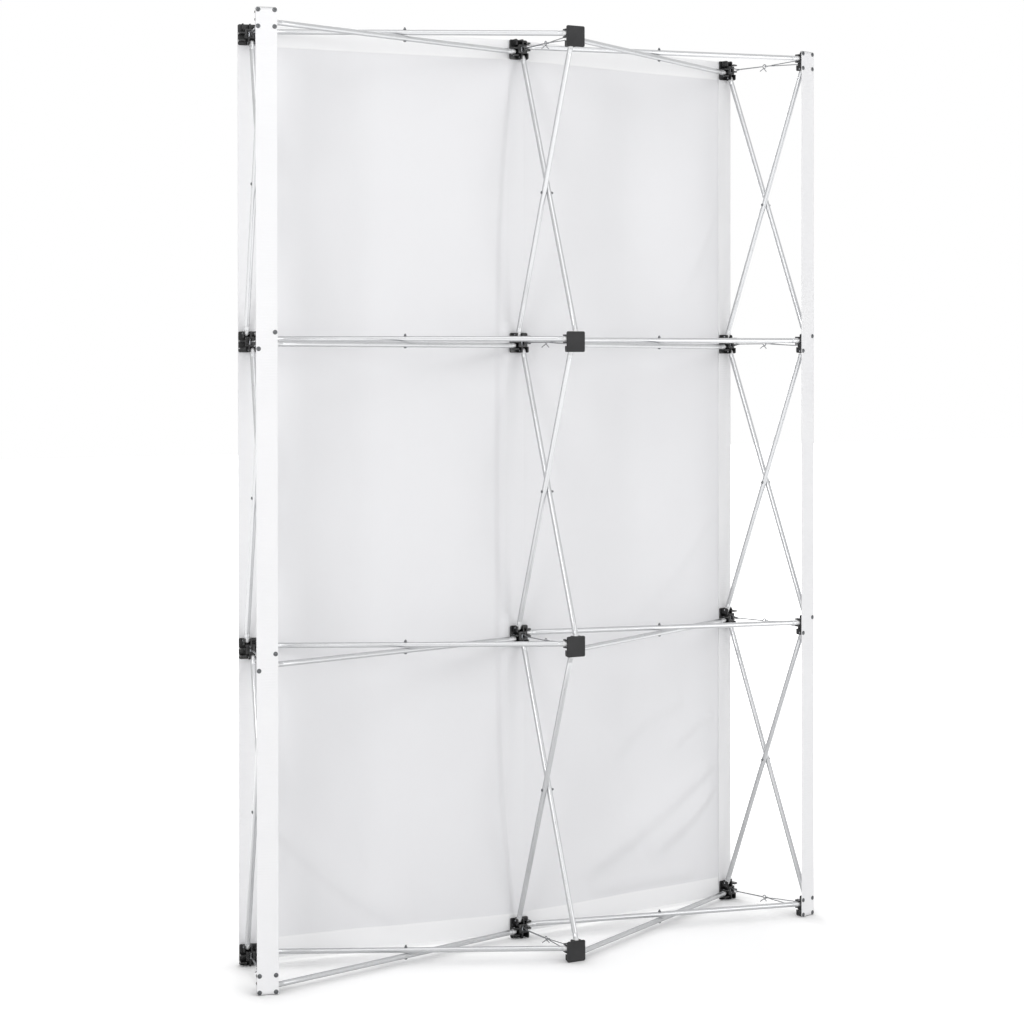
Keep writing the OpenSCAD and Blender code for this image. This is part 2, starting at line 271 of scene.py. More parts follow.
# The outer plate, with a step 0.6 mm wide round a panel that is sunk by half a millimetre
plate = block((-hub_w / 2, hub_w / 2), (face - plate_t, face), (-hub_w / 2, hub_w / 2))
pick(plate, "EDGE", runs_through)
bpy.ops.mesh.bevel(offset=corner_r, segments=6, affect="EDGES")
done()
pick(plate, "FACE", faces_out)
for width, sink in ((0.001, 0), (0.0022, 0), (0.0006, 0.0005)):
    bpy.ops.mesh.inset(thickness=width, depth=-sink)
done()
soften(plate, 0.0007, 60, 3)

# The core runs a little way into the plate, and is hollow for the eyes of the lock arm
in_plate, pocket_play = 0.0003, 0.0003
core_block = block((-core, core), (-cheek_reach, face - plate_t + in_plate), (-core, core))
pocket_w = 2 * (eye_r + wire_d / 2 + pocket_play)
pocket_h = leg_spread + wire_d + 2 * pocket_play
pocket_floor = arm_y + pocket_w / 2
pick(core_block, "FACE", lambda side: side.normal.y < -0.9)
bpy.ops.mesh.inset(thickness=core - pocket_h / 2)
bpy.ops.transform.resize(value=(pocket_w / pocket_h, 1, 1))
bpy.ops.mesh.extrude_region_move(TRANSFORM_OT_translate={"value": (0, pocket_floor + cheek_reach, 0)})
done()
soften(core_block, 0.0003)

# A cheek on each side of a slot. Its outer side is hollowed by 0.6 mm, so that it moulds without a sink
cheek_root, plate_lip, cheek_rim, hollow_step, hollow = 0.001, 0.0002, 0.0013, 0.0003, 0.0006
cheek_end = hub_w / 2 - plate_lip
cheeks = []
for low, outward in ((lane - slot_half - cheek_t, -1), (lane + slot_half, 1)):
    cheek = block((core - cheek_root, cheek_end), (-cheek_reach, face - plate_t + in_plate),
                  (low, low + cheek_t))
    pick(cheek, "EDGE", lambda edge: lies_at(edge, x=cheek_end, y=-cheek_reach))
    bpy.ops.mesh.bevel(offset=corner_r, segments=5, affect="EDGES")
    done()
    pick(cheek, "FACE", lambda side: side.normal.z * outward > 0.9)
    bpy.ops.mesh.inset(thickness=cheek_rim)
    bpy.ops.mesh.inset(thickness=hollow_step, depth=-hollow)
    done()
    soften(cheek, 0.0003)
    cheeks += [another(cheek, quarter_turn(quarter)) for quarter in range(4)]
    bpy.data.objects.remove(cheek)

# The plate's outer side, as far as its rounded edge, takes the matte charcoal with its painted light. Its
# back is polished like the cheeks
for piece in (core_block, *cheeks):
    piece.data.materials.append(nylon)
plate.data.materials.append(eroded_and_lit)
plate.data.materials.append(nylon)
for polygon in plate.data.polygons:
    polygon.material_index = 0 if polygon.center.y > face - plate_t * 0.6 else 1
hub_pattern = joined([plate, core_block, *cheeks], "hub pattern")
for layer, column, row in hubs:
    made = on_hub(hub_pattern, "moulding", layer, column, row)
    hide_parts(f"{layer}_hub_c{column}_r{row}")
bpy.data.objects.remove(hub_pattern)

# ---- Pivot pins -----------------------------------------------------------------------------------
# One zinc-plated steel pin through the cheeks of every slot that holds a tube, 68 in all, pressed in
# flush with the outer sides. Each end is chamfered and centre-punched.


def spun(name, outline, steps, closed=False):
    """Turns an outline of (along X, radius) points round X, as on a lathe."""
    count = len(outline)
    mesh = bpy.data.meshes.new(name)
    mesh.from_pydata([(x, 0, r) for x, r in outline],
                     [(i, (i + 1) % count) for i in range(count if closed else count - 1)], [])
    made = bpy.data.objects.new(name, mesh)
    scene.collection.objects.link(made)
    only(made)
    bpy.ops.object.mode_set(mode="EDIT")
    bpy.ops.mesh.select_all(action="SELECT")
    bpy.ops.mesh.spin(steps=steps, angle=2 * math.pi, center=(0, 0, 0), axis=(1, 0, 0))
    bpy.ops.mesh.select_all(action="SELECT")
    bpy.ops.mesh.remove_doubles(threshold=1e-6)
    bpy.ops.mesh.normals_make_consistent(inside=False)
    bpy.ops.object.mode_set(mode="OBJECT")
    bpy.ops.object.shade_smooth_by_angle(angle=math.radians(35))
    return made


def moved(outline, x):
    """An outline moved along X."""
    return [(x + along, r) for along, r in outline]


# Bright zinc over cold-drawn steel: pale bluish grey, with soft mottling 2 mm across
zinc, tree, shader = finish_named("bright zinc-plated steel")
place = node(tree, "ShaderNodeTexCoord").outputs["Object"]
mottle = node(tree, "ShaderNodeTexNoise", {"Vector": place, "Scale": 500, "Detail": 2}).outputs["Fac"]
tone = node(tree, "ShaderNodeMix", {"Factor": mottle, "A": linear("#a9acb1"), "B": linear("#c9cbcf")},
            data_type="RGBA")
rough = node(tree, "ShaderNodeMapRange", {"Value": mottle, "To Min": 0.25, "To Max": 0.42})
feed(shader, {"Base Color": tone.outputs["Result"], "Roughness": rough.outputs["Result"], "Metallic": 0.9})

pin_d, pin_half, pin_chamfer = 0.004, slot_half + cheek_t, 0.0004
punch_mark = [(-0.0012, 0), (-0.0003, 0.0009), (0, 0.0011)]
pin_end = [*moved(punch_mark, pin_half), (pin_half, pin_d / 2 - pin_chamfer),
           (pin_half - pin_chamfer, pin_d / 2)]
pin_pattern = spun("pin pattern", [(-x, r) for x, r in pin_end] + pin_end[::-1], 20)
pin_pattern.data.transform(Matrix.Translation((pin_reach, 0, lane)) @ Matrix.Rotation(-math.pi / 2, 4, "Y"))
pin_pattern.data.materials.append(zinc)


def slots_used(layer, column, row):
    """The slots that hold a tube, in quarter turns from the hub's own +X side."""
    sides = (column < columns[-1], column > 1)
    plus, minus = sides if layer == "rear" else sides[::-1]
    return [quarter for quarter, used in enumerate((plus, row > 1, minus, row < rows[-1])) if used]


for hub in hubs:
    pins = joined([another(pin_pattern, quarter_turn(quarter)) for quarter in slots_used(*hub)], "pins")
    on_hub(pins, "pivot_pins", *hub)
    bpy.data.objects.remove(pins)
bpy.data.objects.remove(pin_pattern)

# ---- Tubes ----------------------------------------------------------------------------------------
# Thirty-four drawn aluminium tubes, 13 mm across with a 1.2 mm wall, satin anodised. A ring swaged
# into the wall near each end holds the fitting. The drilled rivet holes are filled by their rivets.
tube_wall, tube_start = 0.0012, 0.009
bore_d = tube_d - 2 * tube_wall
lean = math.asin(depth / span)

# Satin anodised aluminium: bright but soft, with drawing lines along the tube. The real lines are
# 0.1 mm apart; they are drawn 0.8 mm apart and 60 mm long so that they can be seen at all.
anodised, tree, shader = finish_named("satin anodised drawn aluminium")
along = node(tree, "ShaderNodeUVMap", uv_map="along").outputs["UV"]
lines = node(tree, "ShaderNodeMapping", {"Vector": along, "Scale": (16, 1250, 1)}).outputs["Vector"]
drawn = node(tree, "ShaderNodeTexNoise", {"Vector": lines, "Scale": 1, "Detail": 3}).outputs["Fac"]
tone = node(tree, "ShaderNodeMix", {"Factor": drawn, "A": linear("#bcbdbf"), "B": linear("#cacbcc")},
            data_type="RGBA")
rough = node(tree, "ShaderNodeMapRange", {"Value": drawn, "To Min": 0.25, "To Max": 0.31})
grain = node(tree, "ShaderNodeBump", {"Height": drawn, "Strength": 0.05, "Distance": 0.0002})
feed(shader, {"Base Color": tone.outputs["Result"], "Roughness": rough.outputs["Result"],
              "Normal": grain.outputs["Normal"], "Metallic": 0.8})


def wrap_map(piece):
    """A UV map in metres: along the tube, and round it."""
    points = piece.data.vertices
    layer = piece.data.uv_layers.new(name="along")
    for polygon in piece.data.polygons:
        turns = [math.atan2(points[v].co.z, points[v].co.y) for v in polygon.vertices]
        for corner, vertex, turn in zip(polygon.loop_indices, polygon.vertices, turns):
            if max(turns) - min(turns) > math.pi and turn < 0:
                turn += 2 * math.pi
            layer.data[corner].uv = (points[vertex].co.x, turn * tube_d / 2)


# A shallow ring rolled into the wall, as (along, how deep)
swage = ((-0.0016, 0), (-0.0010, 0.00015), (-0.0004, 0.0005),
         (0.0004, 0.0005), (0.0010, 0.00015), (0.0016, 0))
ring = [(along, tube_d / 2 - drop) for along, drop in swage]
ring_in, tube_edge, end_play = 0.010, 0.0003, 0.0001
tube_a, tube_b = tube_start + end_play, span - tube_start - end_play
outside = [(tube_a, tube_d / 2 - tube_edge), (tube_a + tube_edge, tube_d / 2), *moved(ring, tube_a + ring_in),
           *((tube_a + (tube_b - tube_a) * share, tube_d / 2) for share in (0.1, 0.3, 0.5, 0.7, 0.9)),
           *moved(ring, tube_b - ring_in), (tube_b - tube_edge, tube_d / 2), (tube_b, tube_d / 2 - tube_edge)]
tube_pattern = spun("tube pattern", [(tube_a, bore_d / 2 + 0.0001), *outside, (tube_b, bore_d / 2 + 0.0001),
                                     (tube_b, bore_d / 2), (tube_a, bore_d / 2)], 48, closed=True)
tube_pattern.data.materials.append(anodised)
wrap_map(tube_pattern)


def upright_frame(which, column, row):
    """An upright tube's own frame, from its lower pin along +X. Back ones lean back, front ones forward."""
    way = 1 if which == "back" else -1
    return (column_frame(column) @ Matrix.Translation((way * lane, -way * depth / 2, row_z(row) + pin_reach))
            @ Matrix.Rotation(-way * lean, 4, "X") @ Matrix.Rotation(-math.pi / 2, 4, "Y"))


def cross_frame(which, column, row):
    """A cross tube's own frame, from its front pin along +X to its rear pin in the next column."""
    near, far, way = (column + 1, column, -1) if which == "upper" else (column, column + 1, 1)
    front_pin = column_frame(near) @ Vector((way * pin_reach, -depth / 2, 0))
    rear_pin = column_frame(far) @ Vector((-way * pin_reach, depth / 2, 0))
    line = rear_pin - front_pin
    return (Matrix.Translation((front_pin.x, front_pin.y, row_z(row) + (lane if which == "upper" else -lane)))
            @ Matrix.Rotation(math.atan2(line.y, line.x), 4, "Z"))


tubes = {f"upright_tube_{which}_c{column}_r{row}": upright_frame(which, column, row)
         for which in ("back", "front") for column in columns for row in rows[:cells]}
tubes.update({f"cross_tube_{which}_c{column}_r{row}": cross_frame(which, column, row)
              for which in ("upper", "lower") for column in columns[:2] for row in rows})
for body, place in tubes.items():
    made = fitted(tube_pattern, "drawn_" + body, place, body)
    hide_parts(body)
bpy.data.objects.remove(tube_pattern)

# ---- End fittings ---------------------------------------------------------------------------------
# Both ends of each tube: an aluminium die casting with a round nose, drilled for the pivot pin. Its
# shank is pressed into the tube and gripped by the swaged ring.

# Tumbled die-cast aluminium: whiter and rougher than the tube, grain about 1.5 mm
casting, tree, shader = finish_named("tumbled die-cast aluminium")
place = node(tree, "ShaderNodeTexCoord").outputs["Object"]
tumble = node(tree, "ShaderNodeTexNoise", {"Vector": place, "Scale": 650, "Detail": 3}).outputs["Fac"]
tone = node(tree, "ShaderNodeMix", {"Factor": tumble, "A": linear("#bcbdbf"), "B": linear("#f0f0f0")},
            data_type="RGBA")
grain = node(tree, "ShaderNodeBump", {"Height": tumble, "Strength": 0.35, "Distance": 0.0004})
feed(shader, {"Base Color": tone.outputs["Result"], "Roughness": 0.42, "Normal": grain.outputs["Normal"],
              "Metallic": 0.45})

shank_len, shank_r, casting_edge = 0.022, bore_d / 2 - 0.0001, 0.0003
nose = [(-tube_d / 2 * math.cos(math.radians(a)), tube_d / 2 * math.sin(math.radians(a)))
        for a in range(0, 91, 10)]
groove = [(-0.0022, tube_d / 2), (-0.0018, tube_d / 2 - casting_edge), (-0.0014, tube_d / 2)]
collar = [(-casting_edge, tube_d / 2), (0, tube_d / 2 - casting_edge)]
shank = [(0, shank_r), (shank_len - 0.001, shank_r), (shank_len, shank_r - 0.0007), (shank_len, 0)]
end_pattern = spun("end pattern", nose + moved(groove + collar + shank, tube_start), 40)
end_pattern.data.materials.append(casting)
end_places = (Matrix.Identity(4), Matrix.Translation((span, 0, 0)) @ Matrix.Rotation(math.pi, 4, "Z"))
both_ends = joined([another(end_pattern, end) for end in end_places], "both ends")
for body, place in tubes.items():
    fitted(both_ends, "end_fittings_" + body, place, body)
for pattern in (end_pattern, both_ends):
    bpy.data.objects.remove(pattern)

# ---- Scissor rivets -------------------------------------------------------------------------------
# Where the two tubes of a pair cross, one steel rivet goes through both. It has a domed head on one
# side and is set over a thimble-shaped cap on the other.
rivet_d, head_d, head_h, cap_h = 0.004, 0.0075, 0.0025, 0.0058
front_part = (span - off_centre) / 2

# Bare steel, tumbled after heading: mid grey, duller than the pins, with soft patches about 2 mm wide
bare_steel, tree, shader = finish_named("tumbled bare steel rivet")
place = node(tree, "ShaderNodeTexCoord").outputs["Object"]
patch = node(tree, "ShaderNodeTexNoise", {"Vector": place, "Scale": 450, "Detail": 3}).outputs["Fac"]
tone = node(tree, "ShaderNodeMix", {"Factor": patch, "A": linear("#57595b"), "B": linear("#87898b")},
            data_type="RGBA")
rough = node(tree, "ShaderNodeMapRange", {"Value": patch, "To Min": 0.30, "To Max": 0.45})
feed(shader, {"Base Color": tone.outputs["Result"], "Roughness": rough.outputs["Result"], "Metallic": 0.85})


def dome(height, radius):
    """The outline of a rivet's domed head, from its rim to its middle. The rim takes 0.4 of its height."""
    edge, rise = 0.0003, height * 0.6
    ball = (radius ** 2 + rise ** 2) / (2 * rise)
    widest = math.asin(radius / ball)
    turns = [widest * (1 - i / 6) for i in range(7)]
    return [(0, radius - edge), (edge, radius),
            *((height - ball + ball * math.cos(turn), ball * math.sin(turn)) for turn in turns)]


head = dome(head_h, head_d / 2)
cap_rim = 0.0016
cap = [(0, head_d / 2 - 0.0002), (0.0002, head_d / 2), (0.0011, head_d / 2), (0.0014, head_d / 2 - 0.0004),
       *moved(dome(cap_h - cap_rim, head_d / 2 - 0.0011), cap_rim)]
inner_side, outer_side = -tube_d / 2 - slack, 2 * lane + tube_d / 2 + slack
upright_rivet = spun("upright rivet", [(inner_side - x, r) for x, r in head[::-1]]
                     + [(inner_side, rivet_d / 2), (outer_side, rivet_d / 2)] + moved(cap, outer_side), 28)
# Each cross tube carries its own half of the rivet
half_start, half_end = 4 * slack - tube_d / 2, tube_d / 2 + slack
rivet_ends = {which: spun(which + " rivet end", [(half_start, 0), (half_start, rivet_d / 2),
                                                 (half_end, rivet_d / 2), *moved(end, half_end)], 28)
              for which, end in (("upper", cap), ("lower", head))}
for pattern in (upright_rivet, *rivet_ends.values()):
    pattern.data.transform(Matrix.Rotation(-math.pi / 2, 4, "Y"))
    pattern.data.materials.append(bare_steel)
for body, place in tubes.items():
    if body.startswith("upright_tube_back"):
        at = place @ Matrix.Translation((span / 2, 0, 0))
        fitted(upright_rivet, "scissor_rivet_" + body.removeprefix("upright_tube_back_"), at, body)
    elif body.startswith("cross"):
        which = body.split("_")[2]
        at = place @ Matrix.Translation((front_part, 0, 0))
        if which == "lower":
            at = at @ Matrix.Rotation(math.pi, 4, "X")
        fitted(rivet_ends[which], "scissor_rivet_" + body.removeprefix("cross_tube_"), at, body)
for pattern in (upright_rivet, *rivet_ends.values()):
    bpy.data.objects.remove(pattern)

# ---- Lock arms ------------------------------------------------------------------------------------
# Each hub has a hairpin of 2.5 mm spring-steel wire on a pin in its core. The rear one is bent into a
# ring. The legs of the front one soon come together, and one of them hooks over that ring halfway
# between the hubs. Its two ends splay out below as tails for the fingers.
ring_r, hook_gap = 0.005, 0.00015
arm_reach = (depth + 2 * arm_y) / 2 - ring_r + wire_d / 2 + hook_gap
neck = arm_reach - ring_r
neck_y, ring_y = arm_y - neck, arm_y - arm_reach

# Nickel-plated spring steel: bright, hard reflections, with darker drawing marks about 3 mm apart
wire_steel, tree, shader = finish_named("nickel-plated spring steel wire")
place = node(tree, "ShaderNodeTexCoord").outputs["Object"]
streak = node(tree, "ShaderNodeTexNoise", {"Vector": place, "Scale": 300, "Detail": 3}).outputs["Fac"]
tone = node(tree, "ShaderNodeMix", {"Factor": streak, "A": linear("#6f7174"), "B": linear("#a3a4a6")},
            data_type="RGBA")
rough = node(tree, "ShaderNodeMapRange", {"Value": streak, "To Min": 0.2, "To Max": 0.36})
feed(shader, {"Base Color": tone.outputs["Result"], "Roughness": rough.outputs["Result"], "Metallic": 0.85})


def wire(points):
    """Round wire bent along points, with closed ends."""
    curve = bpy.data.curves.new("wire", "CURVE")
    curve.dimensions, curve.bevel_depth, curve.bevel_resolution = "3D", wire_d / 2, 3
    curve.use_fill_caps = True
    line = curve.splines.new("POLY")
    line.points.add(len(points) - 1)
    for point, at in zip(line.points, points):
        point.co = (*at, 1)
    made = bpy.data.objects.new("wire", curve)
    scene.collection.objects.link(made)
    only(made)
    bpy.ops.object.convert(target="MESH")
    made = bpy.context.object
    bpy.ops.object.shade_smooth_by_angle(angle=math.radians(50))
    return made


def leg(height, side, closes):
    """From the eye round the pin, down one leg, which meets the other at closes, to beside the neck."""
    up, eye_rise = (1 if height > 0 else -1), 0.0008
    eye = [(side * eye_r * math.cos(a), arm_y + eye_r * math.sin(a), height + up * eye_rise * (a / 5 - 1))
           for a in (math.radians(d) for d in range(345, -1, -15))]
    return [*eye, (side * eye_r, arm_y - 0.006, height * 0.97),
            (side * (wire_d / 2 + 0.0004), arm_y - closes + 0.009, height * 0.20),
            (side * wire_d / 2, arm_y - closes, height * 0.02), (side * wire_d / 2, neck_y + 0.003, 0)]


def bend(layer):
    """The rear arm's ring or the front arm's open hook, from the neck round."""
    if layer == "rear":
        turns = [math.radians(d) for d in range(75, -256, -15)]
        return [(ring_r * math.cos(a), ring_y + ring_r * math.sin(a), 0) for a in turns]
    turns = [math.radians(d) for d in range(90, 361, 15)]
    return [*((0, ring_y + ring_r * math.sin(a), -ring_r * math.cos(a)) for a in turns),
            (-0.001, neck_y + 0.0005, -0.0070), (-0.0035, neck_y + 0.004, -0.0105),
            (-0.005, neck_y + 0.006, -0.0125)]


arm_pin = spun("arm pin", [(-core, 0), (-core, arm_pin_d / 2), (core, arm_pin_d / 2), (core, 0)], 20)
arm_pin.data.transform(Matrix.Translation((0, arm_y, 0)) @ Matrix.Rotation(math.pi / 2, 4, "Y"))
arm_pin.data.materials.append(zinc)
tail = [(wire_d / 2 + 0.0007, neck_y + 0.0012, -0.0014), (0.0048, neck_y - 0.0006, -0.0060),
        (0.0090, neck_y - 0.0024, -0.0108), (0.0102, neck_y - 0.0028, -0.0128)]
arm_patterns = {}
for layer, closes in (("rear", neck - 0.006), ("front", 0.034)):
    upper_leg, lower_leg = leg(leg_spread / 2, -1, closes), leg(-leg_spread / 2, 1, closes)
    if layer == "rear":
        parts = [wire(upper_leg + bend(layer) + lower_leg[::-1])]
    else:
        parts = [wire(upper_leg + bend(layer)), wire(lower_leg + tail)]
    for part in parts:
        part.data.materials.append(wire_steel)
    arm_patterns[layer] = joined([*parts, another(arm_pin, Matrix.Identity(4))], f"{layer} arm pattern")
for layer, column, row in hubs:
    on_hub(arm_patterns[layer], "lock_arm", layer, column, row)
for pattern in (arm_pin, *arm_patterns.values()):
    bpy.data.objects.remove(pattern)

# ---- Tape straps ----------------------------------------------------------------------------------
# Four white woven polyester tapes, 50 mm wide, run the height of the wall down the outer plates of the end
# columns' hubs, in front and behind. In the real wall they crumple down when the frame folds; here each is
# one rigid piece that rides on its bottom hub.
strap_w, strap_t, strap_inset, strap_skin, bound_edge = 0.050, 0.0012, 0.001, 0.0001, 0.0008
frame_h = cells * row_pitch + hub_w


def bands(pitch):
    """The scale at which Blender's wave texture draws its bands a pitch apart."""
    return 1 / (20 * pitch / math.pi * 2)


# White woven tape: ribs across it 1.6 mm apart, yarn fuzz 1.4 mm and faint clouds 170 mm wide
tape, tree, shader = finish_named("white woven polyester tape")
weave = node(tree, "ShaderNodeUVMap", uv_map="cut").outputs["UV"]
ribs = node(tree, "ShaderNodeTexWave",
            {"Vector": weave, "Scale": bands(0.0016), "Distortion": 0.4, "Detail": 1},
            wave_type="BANDS", bands_direction="Y").outputs["Fac"]
fuzz = node(tree, "ShaderNodeTexNoise", {"Vector": weave, "Scale": 700, "Detail": 3}).outputs["Fac"]
cloud = node(tree, "ShaderNodeTexNoise", {"Vector": weave, "Scale": 6, "Detail": 2}).outputs["Fac"]
tone = node(tree, "ShaderNodeMix", {"Factor": cloud, "A": linear("#ebebed"), "B": linear("#f2f2f3")},
            data_type="RGBA")
height = node(tree, "ShaderNodeMath", {0: ribs, 1: fuzz}, operation="ADD").outputs["Value"]
grain = node(tree, "ShaderNodeBump", {"Height": height, "Strength": 0.35, "Distance": 0.0003})
feed(shader, {"Base Color": tone.outputs["Result"], "Roughness": 0.72, "Normal": grain.outputs["Normal"],
              "Sheen Weight": 0.15})


def cloth_grid(name, across, up, at, material):
    """A sheet of cloth: a grid over its flat cut, each point set by at, with the cut as UV map in metres."""
    mesh = bpy.data.meshes.new(name)
    wide = len(across)
    mesh.from_pydata([at(s, z) for z in up for s in across], [],
                     [(j * wide + i, j * wide + i + 1, (j + 1) * wide + i + 1, (j + 1) * wide + i)
                      for j in range(len(up) - 1) for i in range(wide - 1)])
    made = bpy.data.objects.new(name, mesh)
    scene.collection.objects.link(made)
    cut = mesh.uv_layers.new(name="cut")
    flat = [(s, z) for z in up for s in across]
    for loop in mesh.loops:
        cut.data[loop.index].uv = flat[loop.vertex_index]
    mesh.materials.append(material)
    mesh.shade_smooth()
    return made


def steps(start, end, count):
    """Evenly spaced values from start to end."""
    return [start + (end - start) * i / count for i in range(count + 1)]


def from_row(z):
    """How far a height is above or below the hubs of the nearest row."""
    return min(abs(z - row_z(row)) for row in rows) - hub_w / 2


strap_rows, strap_lanes = 240, 16
strap_z = steps(strap_inset, frame_h - strap_inset, strap_rows)
strap_x = sorted({*steps(-strap_w / 2, strap_w / 2, strap_lanes),
                  bound_edge - strap_w / 2, strap_w / 2 - bound_edge})
wave, ripple, front_bow = 0.0009, 0.0005, 0.0016
for layer in ("rear", "front"):
    for column in (1, 3):
        place = hub_frame(layer, column, 1)
        phase = column + (0 if layer == "rear" else 2)

        def strap_point(x, z):
            """Flat on the hubs, and a little slack between them, where the front ones cling to the banner."""
            slackness = min(1, max(0, from_row(z)) / 0.15)
            bow = (wave * slackness * math.sin(z * 9 + phase)
                   + ripple * slackness * math.sin(x * 90 + z * 5 + phase))
            bow = max(bow, 0) / 2
            if layer == "front":
                bow = bow / 3 + front_bow * min(1, max(0, from_row(z)) / 0.03)
            return place @ Vector((x, face + slack + strap_t - strap_skin + bow, z - row_z(1)))

        made = cloth_grid(f"tape_strap_{layer}_c{column}", strap_x, strap_z, strap_point, tape)
        only(made)
        thick = made.modifiers.new("thickness", "SOLIDIFY")
        thick.thickness, thick.offset = strap_t - 2 * strap_skin, 1
        bpy.ops.object.modifier_apply(modifier=thick.name)
        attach(made, f"{layer}_hub_c{column}_r1")
        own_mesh(made)
        if (layer, column) == ("rear", 1):
            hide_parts("straps")

# ---- Strap rivets ---------------------------------------------------------------------------------
# Blind steel rivets with a wide flange hold each tape to the hub plates: four on the top and bottom
# hubs, and two on a diagonal on the hubs between. The stub of the pulled mandrel stays in the middle.
strap_head_h, flange_d, stub_r = 0.0016, 0.0108, 0.0008
rivet_place = strap_w / 2 - 0.006

# Blackened steel rivet: dark grey, worn brighter on the dome in patches about 3 mm wide
blackened, tree, shader = finish_named("blackened steel rivet")
place = node(tree, "ShaderNodeTexCoord").outputs["Object"]
worn = node(tree, "ShaderNodeTexNoise", {"Vector": place, "Scale": 350, "Detail": 2}).outputs["Fac"]
tone = node(tree, "ShaderNodeMix", {"Factor": worn, "A": linear("#3a3b3d"), "B": linear("#77797b")},
            data_type="RGBA")
feed(shader, {"Base Color": tone.outputs["Result"], "Metallic": 0.8, "Roughness": 0.38})

shank_end = face - plate_t + 0.0005
rivet_shank = [(shank_end, 0), (shank_end, rivet_d / 2), (face + strap_t, rivet_d / 2)]
flange = [(0, flange_d / 2 - 0.0002), (0.0002, flange_d / 2), (0.0007, flange_d / 2 - 0.0002),
          (0.0010, flange_d / 2 - 0.0011), (strap_head_h - 0.0002, head_d / 2 - 0.0010),
          (strap_head_h, head_d / 2 - 0.0014)]
stub = [(strap_head_h, stub_r + 0.0006), (strap_head_h - 0.0006, stub_r + 0.0004),
        (strap_head_h - 0.0006, stub_r + 0.0001), (strap_head_h - 0.0001, stub_r),
        (strap_head_h, stub_r - 0.0002), (strap_head_h, 0)]
strap_rivet = spun("strap rivet", rivet_shank + moved(flange + stub, face + strap_t + slack), 24)
strap_rivet.data.transform(Matrix.Rotation(math.pi / 2, 4, "Z"))
strap_rivet.data.materials.append(blackened)
for layer, column, row in hubs:
    if column == 2:
        continue
    corners = [(-1, 1), (1, -1)] if row in (2, 3) else [(-1, 1), (1, -1), (1, 1), (-1, -1)]
    rivets = joined([another(strap_rivet, Matrix.Translation((x * rivet_place, 0, z * rivet_place)))
                     for x, z in corners], "rivets")
    on_hub(rivets, "strap_rivets", layer, column, row)
    bpy.data.objects.remove(rivets)
bpy.data.objects.remove(strap_rivet)

# ---- Hook pads ------------------------------------------------------------------------------------
# Thin square pads of hook tape on the middle column's front plates, where the banner sticks. A foam
# backing is glued to the plate, and the field of hooks stands on it inside a sealed edge.
pad_w, pad_corner, pad_sunk, field_h, sealed_edge, soft_gap = 0.040, 0.003, 0.0005, 0.0012, 0.0015, 0.0003
banner_back = face + strap_t + strap_head_h + soft_gap
pad_top = banner_back - soft_gap

# White hook tape: rows of stiff nylon hooks about 1.5 mm apart, dull
hook_tape, tree, shader = finish_named("white hook tape")
place = node(tree, "ShaderNodeTexCoord").outputs["Object"]
hooks = node(tree, "ShaderNodeTexVoronoi", {"Vector": place, "Scale": 660}).outputs["Distance"]
grain = node(tree, "ShaderNodeBump", {"Height": hooks, "Strength": 0.6, "Distance": 0.0006})
feed(shader, {"Base Color": linear("#e6e6e4"), "Roughness": 0.8, "Normal": grain.outputs["Normal"]})

pad = block((-pad_w / 2, pad_w / 2), (face - pad_sunk, pad_top - field_h), (-pad_w / 2, pad_w / 2))
pick(pad, "EDGE", runs_through)
bpy.ops.mesh.bevel(offset=pad_corner, segments=4, affect="EDGES")
done()
pick(pad, "FACE", faces_out)
bpy.ops.mesh.inset(thickness=sealed_edge)
bpy.ops.mesh.extrude_region_move(TRANSFORM_OT_translate={"value": (0, field_h, 0)})
done()
soften(pad, 0.0003)
pad.data.materials.append(hook_tape)
for row in rows:
    fitted(pad, f"hook_pad_r{row}", hub_frame("front", 2, row), f"front_hub_c2_r{row}")
bpy.data.objects.remove(pad)

# ---- Banner ---------------------------------------------------------------------------------------
# One blank sheet of knitted polyester display cloth, cut 1.45 m wide, with a 50 mm hem folded back and
# stitched on its four edges. It sticks to the pads and hangs in shallow folds between the hubs.
banner_lift, banner_top, hem, hem_t, hem_edge = 0.010, frame_h - strap_inset, 0.050, 0.0006, 0.001
cloth_y, cloth_stand = -depth / 2 - banner_back, 0.0009
path = [column_frame(column) @ Vector((side * hub_w / 2, cloth_y, 0))
        for column in columns for side in (-1, 1)]
marks = [0.0]
for a, b in zip(path, path[1:]):
    marks.append(marks[-1] + (b - a).length)
banner_w, banner_h = marks[-1], banner_top - banner_lift
middle = banner_w / 2
column_marks = [(a + b) / 2 for a, b in zip(marks[::2], marks[1::2])]


def on_path(s):
    """The point at a length s along the banner in plan, and the way forward from the wall there."""
    k = max(i for i in range(len(path) - 1) if s >= marks[i] - 1e-9)
    line = (path[k + 1] - path[k]).normalized()
    return path[k] + line * (s - marks[k]), Vector((line.y, -line.x, 0))


def smooth(t):
    """An even rise from 0 to 1."""
    t = min(1, max(0, t))
    return t * t * (3 - 2 * t)


def hill(t):
    """A rounded hill, 1 high."""
    return math.exp(-t * t)


